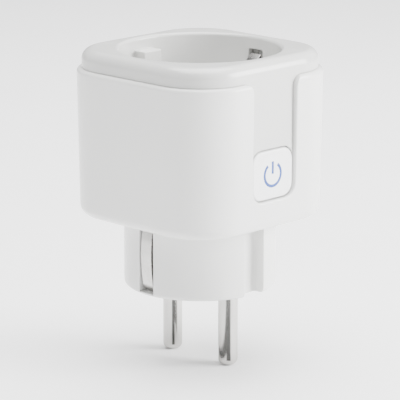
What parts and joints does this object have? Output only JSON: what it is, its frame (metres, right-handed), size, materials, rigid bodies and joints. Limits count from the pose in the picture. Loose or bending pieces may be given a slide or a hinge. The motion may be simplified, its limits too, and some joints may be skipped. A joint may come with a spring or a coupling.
{
  "type": "smart plug",
  "caption": "Wi-Fi smart plug with a round pass-through safety socket on top, a round two-pin plug nose below and a power button on one side of its rounded square body.",
  "frame": {"origin": "centre of the plug nose's end face, midway between the two contact pins", "axes": "+Z from the plug nose towards the socket well, -Y towards the button side, the two contact pins on the Y axis and the earth clips on the X axis"},
  "size_m": [0.05, 0.05, 0.0772],
  "materials": {
    "shell_white": "glossy",
    "cover_white": "glossy",
    "nose_white": "semi-gloss",
    "button_white": "satin",
    "symbol_blue": "translucent, lit from behind",
    "inner_grey": "matt",
    "pin_nickel": "bright nickel",
    "strip_steel": "plated spring strip",
    "spring_steel": "spring wire",
    "screw_steel": "zinc plated",
    "contact_brass": "bare brass",
    "board_green": "solder mask",
    "black_plastic": "matt",
    "radio_board": "solder mask",
    "led_clear": "clear",
    "can_blue": "shrink sleeve",
    "film_yellow": "moulded box",
    "disc_blue": "dipped coating",
    "resistor_green": "coated",
    "ferrite": "ferrite and lacquered wire"
  },
  "bodies": {
    "housing": {"outer_shell": "shell_white", "socket_cover": "cover_white", "contact_plate": "cover_white", "shutter_spring": "spring_steel", "shutter_retainer": "inner_grey", "tact_switch": "black_plastic", "button_board": "board_green", "status_led_left": "led_clear", "status_led_right": "led_clear", "board_header": "black_plastic", "main_board": "board_green", "relay": "black_plastic", "wifi_board": "radio_board", "wifi_shield": "strip_steel", "bulk_capacitor_a": "can_blue", "bulk_capacitor_b": "can_blue", "film_capacitor": "film_yellow", "varistor": "disc_blue", "inductor": "ferrite", "fuse_resistor": "resistor_green", "bridge_rectifier": "black_plastic", "power_chip": "black_plastic", "line_contact": "contact_brass", "neutral_contact": "contact_brass", "line_pin": "pin_nickel", "neutral_pin": "pin_nickel", "line_busbar": "contact_brass", "neutral_busbar": "contact_brass", "earth_strip_left": "strip_steel", "earth_strip_right": "strip_steel", "earth_bridge": "strip_steel", "plug_nose": "nose_white", "case_screw_a": "screw_steel", "case_screw_b": "screw_steel", "case_screw_c": "screw_steel", "case_screw_d": "screw_steel", "board_screw_a": "screw_steel", "board_screw_b": "screw_steel"},
    "button": {"power_button": "button_white", "power_symbol": "symbol_blue"},
    "plunger": {"switch_plunger": "black_plastic"},
    "shutter": {"shutter": "inner_grey"}
  },
  "joints": [
    {"name": "button_press", "type": "slide", "parent": "housing", "child": "button", "axis": [0, 1, 0], "range_m": [0, 0.0005], "stiffness_N_per_m": 4000},
    {"name": "plunger_press", "type": "slide", "parent": "housing", "child": "plunger", "axis": [0, 1, 0], "range_m": [0, 0.0005]},
    {"name": "shutter_slide", "type": "slide", "parent": "housing", "child": "shutter", "axis": [1, 0, 0], "range_m": [0, 0.0062], "stiffness_N_per_m": 120, "deforming": ["shutter_spring"]}
  ],
  "couplings": [
    {"joint": "plunger_press", "follows": "button_press", "ratio": 1}
  ]
}
